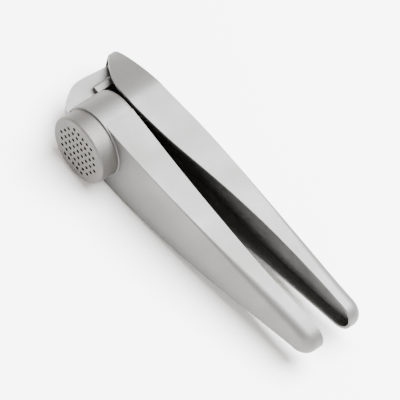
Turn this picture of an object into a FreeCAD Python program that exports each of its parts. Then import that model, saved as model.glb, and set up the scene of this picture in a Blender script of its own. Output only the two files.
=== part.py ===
"""Garlic press: two die-cast handles, a removable sieve basket and a hanging plunger.

The press lies on its side. X runs from the hinge end to the handle tips, Y runs up the
barrel from the sieve to the upper handle, and Z runs along the hinge pin. The origin is
the middle of the sieve's outer face. All sizes are in millimetres and degrees.
"""
import FreeCAD, Part
import math
import os
from FreeCAD import Vector

# Basket and barrel
SNOUT_RADIUS = 16.1        # outside of the basket
SNOUT_LENGTH = 8.6         # basket showing below the barrel
BASKET_WALL = 3.7
SIEVE_THICKNESS = 1.6
BASKET_FIT = 0.05          # radial gap between basket and barrel
BARREL_WALL = 1.05
BARREL_HEIGHT = 16.0       # from the barrel's lower ring to its mouth
FLANGE_THICKNESS = 1.2
MOUTH_DEPTH = 9.2          # height of the tapered entry
MOUTH_FLARE = 3.0          # how much wider the entry is at the top

# Sieve holes, in rows along the handles
HOLE_RADIUS = 0.86
HOLE_PITCH = 2.88
ROW_PITCH = 3.46
HOLES_IN_ROW = (5, 7, 8, 9, 8, 7, 5)

# Both handles
HANDLE_REACH = 131.0       # from the barrel's axis to the tips
WALL_SET_IN = 0.06         # the walls leave the barrel just inside its outside
TIP_RADIUS = 8.2
TAPER_START = 57.0         # control point of the side walls' curve
SPLIT = 0.62               # share of the side walls' curve before the tip's half
SKIN = 1.5                 # thickness of the handles' side walls
BACK_SKIN = 2.4            # thickness of their backs

# Upper handle
NOSE_BEYOND_BARREL = 13.3  # how far the nose overhangs the barrel
NOSE_FULLNESS = 8.0        # how far the nose keeps its full width
NOSE_HALF_FLAT = 5.0       # how blunt the nose is
HEAD_GAP = 1.6             # between the handles' rims beside the barrel
HEAD_HEIGHT = 18.9         # upper handle above the mouth, over the barrel

# Hinge
PIVOT_BEHIND_BARREL = 6.0
PIVOT_ABOVE_MOUTH = 14.2
PIN_RADIUS = 1.5
PIN_FIT = 0.05             # radial running gap
PRESS_FIT = 0.0            # pins are tight in the upper handle
EYE_RADIUS = 3.1
BOSS_RADIUS = 3.0
WEB_THICKNESS = 3.0
SIDE_GAP = 0.3             # on each side of the web and of the plunger's eye
NECK_WIDTH = 9.0
NECK_DEPTH = 3.6
NECK_ABOVE_MOUTH = 9.4
NECK_FOOT = 0.8            # how far it reaches down the barrel
NECK_ROUNDING = 1.6
BLIND_WALL = 1.4           # left beyond the hinge pin's blind end
PIN_RECESS = 0.2           # the pin's end sits this far inside the wall
PIN_CHAMFER = 0.3
NOTCH_ABOVE_PIVOT = 1.8    # the nose's notch lets the web through when open
BORE_MARGIN = 0.3          # web and neck start this far outside the barrel's bore

# Rounded edges
RIDGE_AT_HEAD = 0.5
RIDGE_AT_TIP = 5.6
RIDGE_FADE = 2.5           # power of the distance from the barrel
RING_ROUNDING = 0.4
SNOUT_ROUNDING = 1.0
INNER_ROUNDING = 0.4       # least rounding inside the handles
RIM_ROUNDING = 0.35
PLATE_CHAMFER = 0.5

# Plunger
PLUNGER_GAP = 1.4          # radial gap between the plate and the basket
PLATE_THICKNESS = 3.2
PLATE_LIFT = 1.9           # plate above the sieve, with the press at rest
STEM_RADIUS = 3.2
FOOT_RADIUS = 7.0
FOOT_HEIGHT = 3.6
RIB_THICKNESS = 1.8
RIB_HEIGHT = 2.6
RIB_END_GAP = 1.5          # the ribs stop this far inside the plate's edge
PLUNGER_PIN_X = -0.4
PLUNGER_PIN_ABOVE_MOUTH = 6.6
LUG_THICKNESS = 3.0
LUG_RADIUS = 3.2
LUG_BLIND_WALL = 0.7       # left beyond the plunger pin's blind end

# Modelling allowances
SECTION_MARGIN = 2.0       # lofted sections reach this far past the walls
OVERLAP = 1.0              # joined or cut shapes run into each other by this much
FAR = 60.0                 # beyond everything, for cutting tools
TOUCHING = 0.01            # closer than this counts as the same place

# Sizes that follow
bore_radius = SNOUT_RADIUS - BASKET_WALL
barrel_bore = SNOUT_RADIUS + BASKET_FIT
barrel_radius = barrel_bore + BARREL_WALL
head_half_width = barrel_radius - WALL_SET_IN
nose_reach = barrel_radius + NOSE_BEYOND_BARREL
mouth = SNOUT_LENGTH + BARREL_HEIGHT
pivot = Vector(-barrel_radius - PIVOT_BEHIND_BARREL, mouth + PIVOT_ABOVE_MOUTH, 0)
plunger_pin_at = Vector(PLUNGER_PIN_X, mouth + PLUNGER_PIN_ABOVE_MOUTH, 0)
plate_radius = bore_radius - PLUNGER_GAP
plate_bottom = SIEVE_THICKNESS + PLATE_LIFT
lug_start = STEM_RADIUS + SIDE_GAP
lug_end = lug_start + LUG_THICKNESS
far_above = mouth + FAR / 2
far_below = mouth - FAR / 2

UP = Vector(0, 1, 0)
ACROSS = Vector(0, 0, 1)


def cylinder(radius, start, height, axis=UP):
    return Part.makeCylinder(radius, height, start, axis)


def cone(radius_low, radius_high, low, high):
    return Part.makeCone(radius_low, radius_high, high - low, Vector(0, low, 0), UP)


def box(x, y, z):
    size = [high - low for low, high in (x, y, z)]
    return Part.makeBox(*size, Vector(x[0], y[0], z[0]))


def curve_through(points):
    spline = Part.BSplineCurve()
    spline.interpolate([Vector(*p) for p in points])
    return spline.toShape()


def bezier(points):
    curve = Part.BezierCurve()
    curve.setPoles([Vector(*p) for p in points])
    return curve


def lines(corners):
    """Straight edges from each corner to the next."""
    return [Part.LineSegment(a, b).toShape() for a, b in zip(corners, corners[1:])]


def prism(edges, depth):
    return Part.Face(Part.Wire(edges)).extrude(depth)


# ---------------------------------------------------------------- handle outlines

def side_curve(inset, sign):
    """Side wall from beside the barrel to where the round tip starts."""
    lean = math.atan2(head_half_width - TIP_RADIUS, HANDLE_REACH - TAPER_START)
    tip = TIP_RADIUS - inset
    end_x = HANDLE_REACH - TIP_RADIUS + tip * math.sin(lean)
    end_z = tip * math.cos(lean)
    width = head_half_width - inset
    bend_x = end_x - (width - end_z) / math.tan(lean)
    return bezier([(0, 0, sign * width), (bend_x, 0, sign * width), (end_x, 0, sign * end_z)])


def tip_arc(inset, near, far):
    middle = Vector(HANDLE_REACH - inset, 0, 0)
    return Part.Arc(near, middle, far).toShape()


def nose_curve(inset, sign):
    width = head_half_width - inset
    front = inset - nose_reach
    flat = max(NOSE_HALF_FLAT - inset, NOSE_HALF_FLAT / 3)
    full = [(-NOSE_FULLNESS * share, width) for share in (0, 0.5, 1)]
    shape = full + [(front, flat), (front, 0)]
    return bezier([(x, 0, sign * z) for x, z in shape])


def flat_end(inset):
    """The straight edge across the barrel that closes an outline."""
    width = head_half_width - inset
    return Part.LineSegment(Vector(0, 0, width), Vector(0, 0, -width)).toShape()


def handle_plan(inset):
    """A tall prism with the outline of a handle from the barrel's middle to its tip."""
    near, far = side_curve(inset, 1), side_curve(inset, -1)
    halves = [side.toShape(*span) for side in (near, far) for span in ((0, SPLIT), (SPLIT, 1))]
    edges = halves + [tip_arc(inset, near.value(1), far.value(1)), flat_end(inset)]
    return prism(Part.__sortEdges__(edges), UP * (mouth + FAR))


def nose_plan(inset):
    """The same for the nose, from the barrel's middle forwards."""
    edges = [nose_curve(inset, 1).toShape(), nose_curve(inset, -1).toShape(), flat_end(inset)]
    return prism(Part.__sortEdges__(edges), UP * (mouth + FAR))


def half_width(x):
    """Half a handle's outside width, near enough to place its crown."""
    end = nose_reach if x < 0 else HANDLE_REACH - TIP_RADIUS
    narrow = head_half_width if x < 0 else head_half_width - TIP_RADIUS
    return max(head_half_width - narrow * (x / end) ** 2, TIP_RADIUS / 2)


def reach(share):
    return share * HANDLE_REACH


def nose(share):
    return -share * nose_reach


# Heights of the underside above the barrel's lower ring, and how round it is across
UNDERSIDE = ((-0.10, 0.7, 0.1), (0.10, 0.8, 0.1), (0.33, 3.1, 0.6), (0.62, 7.6, 1.4),
             (0.77, 10.4, 2.0), (0.90, 12.8, 2.6), (1.05, 15.3, 3.0))
# Heights of the lower handle's rim above the mouth
LOWER_RIM = ((-0.20, 0.0), (0.05, -0.1), (0.22, -0.5), (0.42, -0.1), (0.65, 1.5),
             (0.78, 3.0), (0.94, 5.7), (1.05, 7.4))
# The upper handle's rim above the mouth, less the gap: at the nose, then along the handle
NOSE_RIM = ((1.08, 18.8), (0.89, 11.8), (0.72, 7.4), (0.46, 2.5), (0.20, 0.3))
UPPER_RIM = ((0.0, 0.0), (0.05, 0.6), (0.15, 2.4), (0.30, 6.6), (0.53, 12.9), (0.76, 17.4),
             (0.94, 20.0), (1.05, 21.3))
# The upper handle's back above its place over the barrel, and how round it is across
NOSE_BACK = ((1.15, 2.2, 2.0), (0.88, 1.4, 1.8), (0.43, 0.2, 1.4))
UPPER_BACK = ((0.0, 0.1, 1.2), (0.15, 1.9, 1.4), (0.30, 3.4, 1.7), (0.53, 5.3, 2.2),
              (0.76, 7.8, 2.8), (0.94, 10.2, 3.2), (1.05, 11.3, 3.4))
# The web's outer edge, as shares of the ways from the barrel's wall and lower ring to the eye
WEB_EDGE = ((-0.11, -0.033), (0.16, -0.02), (0.46, 0.06), (0.99, 0.30), (1.06, 0.54), (1.0, 1.0))


def crowned_section(x, ridge_y, crown, far_y, ridge):
    """A closed outline across the handle, whose crowned side passes the wall at ridge_y."""
    half = barrel_radius + SECTION_MARGIN
    middle_y = ridge_y + crown * (half_width(x) / half) ** 2
    left = Vector(x, middle_y - crown, -half)
    right = Vector(x, middle_y - crown, half)
    middle = Vector(x, middle_y, 0)
    if ridge:
        crowned = lines([left, middle, right])
    else:
        crowned = [Part.Arc(left, middle, right).toShape()]
    sides = lines([right, Vector(x, far_y, half), Vector(x, far_y, -half), left])
    return Part.Wire(crowned + sides)


def crowned_body(stations, far_y, ridge=False):
    wires = [crowned_section(x, y, crown, far_y, ridge) for x, y, crown in stations]
    return Part.makeLoft(wires, True, False)


def lower_stations(inset):
    ring = SNOUT_LENGTH + inset
    return [(reach(s), ring + rise, -crown) for s, rise, crown in UNDERSIDE]


def upper_stations(inset):
    back = mouth + HEAD_HEIGHT - inset
    front = [(nose(s), back + rise, crown) for s, rise, crown in NOSE_BACK]
    return front + [(reach(s), back + rise, crown) for s, rise, crown in UPPER_BACK]


def rim_cutter(points, far_y):
    """Everything past a handle's rim, on the side of far_y."""
    flat = [(x, y, -FAR) for x, y in points]
    corners = [Vector(*flat[-1]), Vector(points[-1][0], far_y, -FAR),
               Vector(points[0][0], far_y, -FAR), Vector(*flat[0])]
    return prism([curve_through(flat)] + lines(corners), ACROSS * (2 * FAR))


def ridge_radius(x, less):
    """The ridge is crisp beside the barrel and fully round at the tip."""
    grown = (RIDGE_AT_TIP - RIDGE_AT_HEAD) * (max(x, 0) / HANDLE_REACH) ** RIDGE_FADE
    return max(RIDGE_AT_HEAD + grown - less, INNER_ROUNDING)


def round_ridges(solid, low, high, less=0.0):
    """Fillet the edges between low and high where the side walls meet the crowned side."""
    document = FreeCAD.newDocument("ridges")
    base = document.addObject("Part::Feature", "base")
    base.Shape = solid
    fillet = document.addObject("Part::Fillet", "fillet")
    fillet.Base = base
    chosen = []
    for number, edge in enumerate(base.Shape.Edges, 1):
        bounds = edge.BoundBox
        along_wall = bounds.XLength > TOUCHING and bounds.ZLength > TOUCHING
        if along_wall and bounds.YMin > low and bounds.YMax < high:
            first, last = edge.Vertexes[0].Point.x, edge.Vertexes[-1].Point.x
            chosen.append((number, ridge_radius(first, less), ridge_radius(last, less)))
    fillet.Edges = chosen
    document.recompute()
    shape = fillet.Shape.copy()
    FreeCAD.closeDocument(document.Name)
    return shape.Solids[0]


def soften_rim(solid, rim):
    """Round both edges of the rim that was cut along a curve through the rim points."""
    line = curve_through([(x, y, 0) for x, y in rim])
    edges = []
    for edge in solid.Edges:
        ends = edge.ParameterRange
        middle = edge.valueAt((ends[0] + ends[1]) / 2)
        points = [edge.valueAt(ends[0]), middle, edge.valueAt(ends[1])]
        gaps = [line.distToShape(Part.Vertex(v.x, v.y, 0))[0] for v in points]
        if max(gaps) < TOUCHING and edge.BoundBox.XLength > TOUCHING:
            edges.append(edge)
    return solid.makeFillet(RIM_ROUNDING, edges)


# ---------------------------------------------------------------- lower body

def solid_barrel():
    barrel = cylinder(barrel_radius, UP * SNOUT_LENGTH, BARREL_HEIGHT)
    ring = [e for e in barrel.Edges if e.BoundBox.YMax < SNOUT_LENGTH + TOUCHING]
    return barrel.makeFillet(RING_ROUNDING, ring)


def lower_outside():
    """The lower handle and its barrel as one filled shape, before it is hollowed."""
    handle = handle_plan(0).common(crowned_body(lower_stations(0), far_above))
    return round_ridges(handle, 0, mouth + HEAD_HEIGHT)


def lower_hollow():
    """The channel inside the lower handle, from the barrel to the tip."""
    hollow = handle_plan(SKIN).common(crowned_body(lower_stations(BACK_SKIN), far_above))
    hollow = round_ridges(hollow, 0, mouth + HEAD_HEIGHT, SKIN)
    return hollow.cut(cylinder(barrel_radius, Vector(), mouth + FAR))


def hinge_web():
    """A thin upright fin behind the barrel that ends in the hinge eye."""
    half = WEB_THICKNESS / 2
    out = PIVOT_BEHIND_BARREL + EYE_RADIUS
    rise = pivot.y - SNOUT_LENGTH
    edge = [Vector(-barrel_radius - out * behind, SNOUT_LENGTH + rise * above, -half)
            for behind, above in WEB_EDGE]
    root = -barrel_bore - BORE_MARGIN
    corners = [edge[-1], Vector(pivot.x + EYE_RADIUS, pivot.y, -half), Vector(root, mouth, -half),
               Vector(root, edge[0].y, -half), edge[0]]
    web = prism([curve_through(edge)] + lines(corners), ACROSS * WEB_THICKNESS)
    return web.fuse(cylinder(EYE_RADIUS, pivot - ACROSS * half, WEB_THICKNESS, ACROSS))


def neck():
    """The thicker stub that backs the web between the barrel's rim and the nose."""
    half = NECK_WIDTH / 2
    back = -barrel_radius - NECK_DEPTH
    height = (mouth - NECK_FOOT, mouth + NECK_ABOVE_MOUTH)
    stub = box((back, -barrel_bore - BORE_MARGIN), height, (-half, half))
    outer = [e for e in stub.Edges if e.BoundBox.XMax < back + TOUCHING]
    return stub.makeFillet(NECK_ROUNDING, outer)


def make_lower_handle():
    rim = [(reach(s), mouth + rise) for s, rise in LOWER_RIM]
    above_rim = rim_cutter(rim, mouth + 2 * FAR)
    shell = lower_outside().cut(above_rim).cut(lower_hollow())
    casting = shell.fuse([solid_barrel(), hinge_web(), neck()])
    bore = cylinder(barrel_bore, Vector(), mouth)
    seat = cylinder(barrel_radius + BASKET_FIT, UP * (mouth - FLANGE_THICKNESS), FAR)
    hole = cylinder(PIN_RADIUS + PIN_FIT, pivot - ACROSS * FAR, 2 * FAR, ACROSS)
    return casting.cut([bore, seat, hole]).removeSplitter()


def sieve_holes():
    holes = []
    rows = len(HOLES_IN_ROW)
    for row, count in enumerate(HOLES_IN_ROW):
        z = (row - (rows - 1) / 2) * ROW_PITCH
        for place in range(count):
            x = (place - (count - 1) / 2) * HOLE_PITCH
            start = Vector(x, -OVERLAP, z)
            holes.append(cylinder(HOLE_RADIUS, start, SIEVE_THICKNESS + 2 * OVERLAP))
    return Part.makeCompound(holes)


def make_press_basket():
    cup = cylinder(SNOUT_RADIUS, Vector(), mouth)
    rim = [e for e in cup.Edges if e.BoundBox.YMax < TOUCHING]
    cup = cup.makeFillet(SNOUT_ROUNDING, rim)
    flange = cylinder(barrel_radius, UP * (mouth - FLANGE_THICKNESS), FLANGE_THICKNESS)
    top = [e for e in flange.Edges if e.BoundBox.YMin > mouth - TOUCHING]
    flange = flange.makeFillet(RING_ROUNDING, top)
    inside = cylinder(bore_radius, UP * SIEVE_THICKNESS, mouth)
    entry = cone(bore_radius, bore_radius + MOUTH_FLARE, mouth - MOUTH_DEPTH, mouth)
    return cup.fuse(flange).cut(inside.fuse(entry)).cut(sieve_holes())


# ---------------------------------------------------------------- upper body

def upper_rim():
    level = mouth + HEAD_GAP
    points = [(nose(s), level + rise) for s, rise in NOSE_RIM]
    return points + [(reach(s), level + rise) for s, rise in UPPER_RIM]


def upper_back_at(x):
    """Height of the outside of the back above the hinge or the plunger pin."""
    share = min(max(-x / nose_reach, 0), 1)
    return mouth + HEAD_HEIGHT + share * NOSE_BACK[0][1]


def lug(at, radius, low, high):
    """One ear that hangs from the inside of the back and carries a pin."""
    top = upper_back_at(at.x) - SKIN / 2
    post = box((at.x - radius, at.x + radius), (at.y, top), (low, high))
    return post.fuse(cylinder(radius, Vector(at.x, at.y, low), high - low, ACROSS))


def pin_hole(at, end):
    """A hole from outside the lower wall to its blind end on the other side."""
    return cylinder(PIN_RADIUS + PRESS_FIT, at - ACROSS * FAR, FAR + end, ACROSS)


def nose_half_width():
    """Half the nose's outside width at the pivot."""
    curve = nose_curve(0, 1)
    line = Part.LineSegment(Vector(pivot.x, 0, 0), Vector(pivot.x, 0, FAR))
    return curve.intersect(line)[0].Z


def hinge_bosses():
    start = WEB_THICKNESS / 2 + SIDE_GAP
    length = nose_half_width() - SKIN / 2 - start
    near = cylinder(BOSS_RADIUS, pivot + ACROSS * start, length, ACROSS)
    far = cylinder(BOSS_RADIUS, pivot - ACROSS * (start + length), length, ACROSS)
    return [near, far]


def upper_shell():
    """The hollow upper handle, and the outside of its nose before it is hollowed."""
    outside = crowned_body(upper_stations(0), far_below)
    inside = crowned_body(upper_stations(BACK_SKIN), far_below, ridge=True)
    plans = (handle_plan, nose_plan)
    wall_top = mouth + HEAD_HEIGHT / 2
    halves = [round_ridges(plan(0).common(outside), wall_top, mouth + FAR) for plan in plans]
    hollows = [plan(SKIN).common(inside) for plan in plans]
    shell = halves[0].fuse(halves[1]).cut(hollows[0].fuse(hollows[1]))
    shell = shell.cut(rim_cutter(upper_rim(), -FAR))
    return soften_rim(shell.Solids[0], upper_rim()), halves[1]


def make_upper_handle():
    shell, nose_block = upper_shell()
    ears = [lug(plunger_pin_at, LUG_RADIUS, lug_start, lug_end),
            lug(plunger_pin_at, LUG_RADIUS, -lug_end, -lug_start)]
    bosses = [boss.common(nose_block) for boss in hinge_bosses()]
    slot_half = WEB_THICKNESS / 2 + SIDE_GAP
    slot = box((-nose_reach - OVERLAP, pivot.x), (0, pivot.y + NOTCH_ABOVE_PIVOT),
               (-slot_half, slot_half))
    holes = [pin_hole(pivot, nose_half_width() - BLIND_WALL),
             pin_hole(plunger_pin_at, lug_end - LUG_BLIND_WALL)]
    return shell.fuse(ears + bosses).cut([slot] + holes)


def make_pin(at, start, end):
    pin = cylinder(PIN_RADIUS, at + ACROSS * start, end - start, ACROSS)
    return pin.makeChamfer(PIN_CHAMFER, [e for e in pin.Edges if e.Closed])


def make_hinge_pin():
    outside = nose_half_width()
    return make_pin(pivot, PIN_RECESS - outside, outside - BLIND_WALL)


def make_plunger_pin():
    return make_pin(plunger_pin_at, -lug_end, lug_end - LUG_BLIND_WALL)


def make_plunger():
    x = PLUNGER_PIN_X
    top = plate_bottom + PLATE_THICKNESS
    root = top - OVERLAP
    plate = cylinder(plate_radius, Vector(x, plate_bottom, 0), PLATE_THICKNESS)
    plate = plate.makeChamfer(PLATE_CHAMFER, [e for e in plate.Edges if e.Closed])
    stem = cylinder(STEM_RADIUS, Vector(x, root, 0), plunger_pin_at.y - root)
    foot = Part.makeCone(FOOT_RADIUS, STEM_RADIUS, FOOT_HEIGHT, Vector(x, top, 0), UP)
    eye = cylinder(LUG_RADIUS, plunger_pin_at - ACROSS * STEM_RADIUS, 2 * STEM_RADIUS, ACROSS)
    half = RIB_THICKNESS / 2
    span = plate_radius - RIB_END_GAP
    height = (root, top + RIB_HEIGHT)
    ribs = [box((x - span, x + span), height, (-half, half)),
            box((x - half, x + half), height, (-span, span))]
    hole = cylinder(PIN_RADIUS + PIN_FIT, plunger_pin_at - ACROSS * FAR, 2 * FAR, ACROSS)
    return plate.fuse([stem, foot, eye] + ribs).cut(hole).removeSplitter()


PIECES = {
    "lower_handle": make_lower_handle,
    "press_basket": make_press_basket,
    "upper_handle": make_upper_handle,
    "hinge_pin": make_hinge_pin,
    "plunger": make_plunger,
    "plunger_pin": make_plunger_pin,
}

os.makedirs("parts", exist_ok=True)
for name, make in PIECES.items():
    shape = make()
    shape.exportStep(f"parts/{name}.step")
    print(name, "solids", len(shape.Solids), "valid", shape.isValid(),
          "volume", round(shape.Volume), "mm3")
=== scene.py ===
# %% [markdown]
# # A cast garlic press, from its CAD frame to a studio picture
#
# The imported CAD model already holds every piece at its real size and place. This lesson
# keeps those pieces, gives each one the finish that the real metal has, and sets up the
# floor, the lights and the camera. Blender works in metres here, and the press lies on
# its side: X runs to the handle tips, Y runs up the barrel and Z points up.

# %% Load the frame
import math
import bpy
from mathutils import Matrix, Vector


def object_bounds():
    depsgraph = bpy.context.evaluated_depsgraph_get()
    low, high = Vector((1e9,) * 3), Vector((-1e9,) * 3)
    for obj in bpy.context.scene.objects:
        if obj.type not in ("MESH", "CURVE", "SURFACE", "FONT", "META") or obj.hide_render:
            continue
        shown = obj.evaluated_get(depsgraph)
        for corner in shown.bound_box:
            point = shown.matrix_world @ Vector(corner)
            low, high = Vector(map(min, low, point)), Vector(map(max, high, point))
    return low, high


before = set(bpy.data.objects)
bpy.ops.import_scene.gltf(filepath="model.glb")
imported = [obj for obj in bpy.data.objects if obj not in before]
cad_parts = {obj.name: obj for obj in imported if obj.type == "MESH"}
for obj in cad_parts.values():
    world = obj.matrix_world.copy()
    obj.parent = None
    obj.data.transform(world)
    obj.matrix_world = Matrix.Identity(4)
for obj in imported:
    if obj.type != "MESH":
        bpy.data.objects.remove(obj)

MM = 0.001
cad_low, cad_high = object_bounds()
print("pieces from CAD:", sorted(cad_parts))
print("overall size in mm:", [round(side / MM, 1) for side in cad_high - cad_low])

# %% [markdown]
# ## Small helpers
#
# A colour picked on a screen is sRGB, but a shader wants linear light, so one function
# turns a hex value into linear numbers. Another adds a node, fills its sockets and links
# it, which keeps every material below short enough to read as a recipe. Patterns are
# sized in millimetres: a texture scale is the number of features in a metre. A noise
# could give any value from 0 to 1 but mostly stays near its middle, so each material
# stretches that middle part over the range it needs.

# %% Colour and node helpers
def linear(hex_colour):
    """sRGB hex, such as "c8c9ca", as linear RGBA, by the constants of the sRGB standard."""
    parts = [int(hex_colour[i:i + 2], 16) / 255 for i in (0, 2, 4)]
    return [p / 12.92 if p <= 0.04045 else ((p + 0.055) / 1.055) ** 2.4 for p in parts] + [1.0]


def add(tree, kind, settings=None, **sockets):
    """Adds a node. settings are its properties; sockets are values or other sockets.

    A socket is named by its label, or by its number, as in _6, where labels repeat.
    """
    node = tree.nodes.new("ShaderNode" + kind)
    for name, value in (settings or {}).items():
        setattr(node, name, value)
    for name, value in sockets.items():
        number = name[1:]
        socket = node.inputs[int(number) if number.isdigit() else name.replace("_", " ")]
        if isinstance(value, bpy.types.NodeSocket):
            tree.links.new(value, socket)
        else:
            socket.default_value = value
    return node


def new_material(name):
    """A material with an empty node tree, and that tree."""
    material = bpy.data.materials.new(name)
    material.use_nodes = True
    material.node_tree.nodes.clear()
    return material, material.node_tree


def per_metre(feature_mm):
    """Texture scale at which one feature is feature_mm wide."""
    return 1 / (feature_mm * MM)


NOISE_MIDDLE = {"From_Min": 0.3, "From_Max": 0.7}
MIX_COLOURS = {"data_type": "RGBA"}      # mixes the colours on sockets 6 and 7 into output 2

print("linear value of mid grey:", round(linear("808080")[0], 3))

# %% [markdown]
# ## Blasted castings: the handles and the basket
#
# The real pieces are cast aluminium that is blasted with fine glass beads. Beads leave
# shallow dents about a tenth of a millimetre wide, too fine to see one by one: what the
# eye gets is a broad, silky sheen instead of a mirror. Dents could be carved into the
# mesh, but that would take millions of faces. A bump only tilts the light's reflection,
# and it needs no extra faces. The dents are drawn about seven times wider than real, so
# that they show as a faint grain. A second, slow noise stands for handling: some areas
# are a little smoother and lighter than others.
#
# Bright aluminium reflects nine tenths of the light. A blasted casting alloy is far
# greyer, and next to a white floor in strong light it looks mid grey, so its colour is
# set well below that of bright metal. The basket is blasted more coarsely. Its colour
# is a shade darker than the handles' as painted shade, which stands in for the shadowed
# floor that the sieve face reflects.

# %% Blasted casting
BEAD_DENT_MM = 0.7
BEAD_DENT_DETAIL = 2.0
HANDLING_MM = 18.0
HANDLING_DETAIL = 3.0
HANDLING_ROUGHNESS = 0.03       # how far handling moves the roughness up or down


def blasted_casting(name, colour, deep_colour, roughness, dent_depth_mm):
    """Cast aluminium with a bead-blasted skin."""
    material, tree = new_material(name)
    place = add(tree, "TexCoord").outputs["Object"]
    dents = add(tree, "TexNoise", Vector=place, Scale=per_metre(BEAD_DENT_MM),
                Detail=BEAD_DENT_DETAIL)
    handling = add(tree, "TexNoise", Vector=place, Scale=per_metre(HANDLING_MM),
                   Detail=HANDLING_DETAIL)
    wear = add(tree, "MapRange", Value=handling.outputs[0], **NOISE_MIDDLE)
    tint = add(tree, "Mix", MIX_COLOURS, Factor=wear.outputs[0],
               _6=linear(deep_colour), _7=linear(colour))
    rough = add(tree, "MapRange", Value=handling.outputs[0], **NOISE_MIDDLE,
                To_Min=roughness + HANDLING_ROUGHNESS, To_Max=roughness - HANDLING_ROUGHNESS)
    bump = add(tree, "Bump", Height=dents.outputs[0], Distance=dent_depth_mm * MM)
    shader = add(tree, "BsdfPrincipled", Base_Color=tint.outputs[2], Metallic=1.0,
                 Roughness=rough.outputs[0], Normal=bump.outputs[0])
    add(tree, "OutputMaterial", Surface=shader.outputs[0])
    return material


handle_metal = blasted_casting("bead_blasted_aluminium", colour="6e6d6b", deep_colour="696865",
                               roughness=0.60, dent_depth_mm=0.10)
# The basket's darker colours are painted shade for its sieve face, not a darker metal.
basket_metal = blasted_casting("coarse_blasted_aluminium_and_painted_shade", colour="62605c", deep_colour="5c5a56",
                               roughness=0.62, dent_depth_mm=0.12)
print("dents in a metre:", round(per_metre(BEAD_DENT_MM)))

# %% [markdown]
# ## As-cast metal: the plunger
#
# The plunger keeps the skin that the mould gave it. That skin is duller and greyer than a
# blasted one, with soft patches a few millimetres wide where the metal cooled at
# different times. The patches could be painted on an unwrapped mesh, but a CAD mesh
# comes with nothing to paint on. A noise that reads the piece's own coordinates runs
# around every rib and corner without a seam.

# %% As-cast skin
COOLING_PATCH_MM = 4.0
COOLING_PATCH_DETAIL = 4.0
COOLING_ROUGHNESS = 0.05        # how far the patches move the roughness up or down
CAST_GRAIN_MM = 0.6
CAST_GRAIN_DETAIL = 3.0
CAST_GRAIN_DEPTH_MM = 0.04
CAST_GRAIN_STRENGTH = 0.4


def as_cast(name, colour, patch_colour, roughness):
    """Aluminium with the matt skin of its mould."""
    material, tree = new_material(name)
    place = add(tree, "TexCoord").outputs["Object"]
    patches = add(tree, "TexNoise", Vector=place, Scale=per_metre(COOLING_PATCH_MM),
                  Detail=COOLING_PATCH_DETAIL)
    grain = add(tree, "TexNoise", Vector=place, Scale=per_metre(CAST_GRAIN_MM),
                Detail=CAST_GRAIN_DETAIL)
    cooling = add(tree, "MapRange", Value=patches.outputs[0], **NOISE_MIDDLE)
    tint = add(tree, "Mix", MIX_COLOURS, Factor=cooling.outputs[0],
               _6=linear(patch_colour), _7=linear(colour))
    rough = add(tree, "MapRange", Value=patches.outputs[0], **NOISE_MIDDLE,
                To_Min=roughness + COOLING_ROUGHNESS, To_Max=roughness - COOLING_ROUGHNESS)
    bump = add(tree, "Bump", Height=grain.outputs[0], Strength=CAST_GRAIN_STRENGTH,
               Distance=CAST_GRAIN_DEPTH_MM * MM)
    shader = add(tree, "BsdfPrincipled", Base_Color=tint.outputs[2], Metallic=1.0,
                 Roughness=rough.outputs[0], Normal=bump.outputs[0])
    add(tree, "OutputMaterial", Surface=shader.outputs[0])
    return material


plunger_metal = as_cast("as_cast_aluminium", colour="5e5d5a", patch_colour="565552",
                        roughness=0.58)
print("plunger patches in a metre:", round(per_metre(COOLING_PATCH_MM)))

# %% [markdown]
# ## Ground steel: the two pins
#
# A pin is turned and then ground, which leaves fine rings around its axis. The pins lie
# along Z, so a noise that changes quickly with Z and hardly at all across it draws those
# rings. The shader's own anisotropy could stretch the highlight as well, but it has to
# be told which way the rings run at each point, and the noise does that by itself. The
# rings have their real width, which is too fine to see one by one from the camera: they
# only spread the highlight along the pin.

# %% Ground steel
RING_MM = 0.08
RING_DETAIL = 2.0
RING_DEPTH_MM = 0.004
RING_STRENGTH = 0.3
RING_ROUGHNESS = 0.05           # how far the rings move the roughness up or down
ACROSS_PIN = 0.02               # the noise changes this much slower across the pin


def ground_steel(name, colour, roughness):
    """Steel with fine grinding rings around Z."""
    material, tree = new_material(name)
    place = add(tree, "TexCoord").outputs["Object"]
    stretched = add(tree, "Mapping", Vector=place, Scale=(ACROSS_PIN, ACROSS_PIN, 1.0))
    rings = add(tree, "TexNoise", Vector=stretched.outputs[0], Scale=per_metre(RING_MM),
                Detail=RING_DETAIL)
    rough = add(tree, "MapRange", Value=rings.outputs[0], **NOISE_MIDDLE,
                To_Min=roughness - RING_ROUGHNESS, To_Max=roughness + RING_ROUGHNESS)
    bump = add(tree, "Bump", Height=rings.outputs[0], Strength=RING_STRENGTH,
               Distance=RING_DEPTH_MM * MM)
    shader = add(tree, "BsdfPrincipled", Base_Color=linear(colour), Metallic=1.0,
                 Roughness=rough.outputs[0], Normal=bump.outputs[0])
    add(tree, "OutputMaterial", Surface=shader.outputs[0])
    return material


pin_metal = ground_steel("ground_steel", colour="8a8986", roughness=0.28)
print("grinding rings in a metre:", round(per_metre(RING_MM)))

# %% [markdown]
# ## Give each piece its finish
#
# The frame's pieces come with their material slots. New pieces could stand in for them,
# but these already have the right shape, and filling their slots keeps each mesh and its
# place as they were.

# %% Finish the pieces
FINISHES = {
    "lower_handle": handle_metal,
    "upper_handle": handle_metal,
    "press_basket": basket_metal,
    "plunger": plunger_metal,
    "hinge_pin": pin_metal,
    "plunger_pin": pin_metal,
}
for node, material in FINISHES.items():
    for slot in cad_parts[node].material_slots:
        slot.material = material
    print(node, "takes", material.name)

# %% [markdown]
# ## The camera
#
# The camera looks down on the press from the sieve's side, turned so that the handles run
# from the upper left to the lower right. A short lens close by would make the near end
# look swollen. A long lens from far away keeps straight lines from converging, which
# suits a small tool that is meant to show its true shape.

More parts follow.
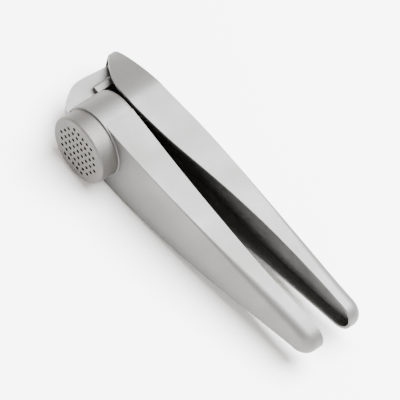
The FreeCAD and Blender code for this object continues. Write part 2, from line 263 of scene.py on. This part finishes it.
# %% Camera
AZIMUTH = math.radians(29.3)
ELEVATION = math.radians(58.3)
ROLL = math.radians(24.6)
LENS_MM = 400
PICTURE_WIDTH = 172 * MM
FRAMING_SHIFT = Vector((-2.2, 2.5, 1.5)) * MM      # from the box's middle to the camera's aim

camera_data = bpy.data.cameras.new("camera")
camera_data.lens = LENS_MM
camera = bpy.data.objects.new("camera", camera_data)
bpy.context.scene.collection.objects.link(camera)
bpy.context.scene.camera = camera
towards = Vector((math.sin(AZIMUTH) * math.cos(ELEVATION),
                  -math.cos(AZIMUTH) * math.cos(ELEVATION),
                  math.sin(ELEVATION)))
distance = PICTURE_WIDTH * LENS_MM / camera_data.sensor_width
aim = (cad_low + cad_high) / 2 + FRAMING_SHIFT
turn = (-towards).to_track_quat("-Z", "Y").to_matrix().to_4x4() @ Matrix.Rotation(ROLL, 4, "Z")
camera.matrix_world = Matrix.Translation(aim + towards * distance) @ turn
camera_data.clip_end = 2 * distance
print("camera distance in m:", round(distance, 2), "aim in mm:", [round(v / MM, 1) for v in aim])

# %% [markdown]
# ## The floor
#
# Metal shows what surrounds it, so the floor matters as much as the lights. The press
# lies on a plain pale plane just below its lowest point. A curved backdrop would do as
# well, but from this height a plane fills the whole view. It is large enough that its
# edge stays out of sight from above.

# %% Floor
FLOOR_SIZE = 6.0                # metres
FLOOR_GAP = 0.2 * MM
FLOOR_COLOUR = "fbfaf7"
FLOOR_ROUGHNESS = 0.8
floor_level = cad_low.z - FLOOR_GAP

bpy.ops.object.select_all(action="DESELECT")
bpy.ops.mesh.primitive_plane_add(size=FLOOR_SIZE, location=(aim.x, aim.y, floor_level))
floor = bpy.context.active_object
floor.name = "studio_floor"
floor_material, tree = new_material("pale_floor")
shader = add(tree, "BsdfPrincipled", Base_Color=linear(FLOOR_COLOUR), Roughness=FLOOR_ROUGHNESS)
add(tree, "OutputMaterial", Surface=shader.outputs[0])
floor.data.materials.append(floor_material)
print("floor lies at", round(floor_level / MM, 2), "mm")

# %% [markdown]
# ## Lights and surroundings
#
# One large soft box hangs above the press and a little behind it, so the side walls are
# bright while the sieve and the undersides, which face the other way, stay darker and
# show their roundness. A small lamp would leave hard, bright streaks on the metal, and a
# wide one gives it even tones. A weak fill from beyond the tips brightens them. The
# surround is an even, slightly warm white, and the insides of the handles stay dark
# because they see little of it.

# %% Lights
LIGHT_COLOUR = "f6f9ff"
SURROUND_COLOUR = "fff6ec"
SURROUND_STRENGTH = 0.95


def soft_box(name, place_mm, size_mm, watts):
    """A square light that faces the press from a place given from the camera's aim."""
    data = bpy.data.lights.new(name, "AREA")
    data.shape = "SQUARE"
    data.size = size_mm * MM
    data.energy = watts
    data.color = linear(LIGHT_COLOUR)[:3]
    light = bpy.data.objects.new(name, data)
    bpy.context.scene.collection.objects.link(light)
    light.location = aim + Vector(place_mm) * MM
    light.rotation_mode = "QUATERNION"
    light.rotation_quaternion = (aim - light.location).to_track_quat("-Z", "Y")
    print(name, "stands", round(Vector(place_mm).length), "mm away")


soft_box("key_light", place_mm=(100, 400, 1200), size_mm=1000, watts=150)
soft_box("tip_fill", place_mm=(1000, -700, 450), size_mm=700, watts=10)

world = bpy.data.worlds.new("studio")
world.use_nodes = True
background = world.node_tree.nodes["Background"]
background.inputs["Color"].default_value = linear(SURROUND_COLOUR)
background.inputs["Strength"].default_value = SURROUND_STRENGTH
bpy.context.scene.world = world
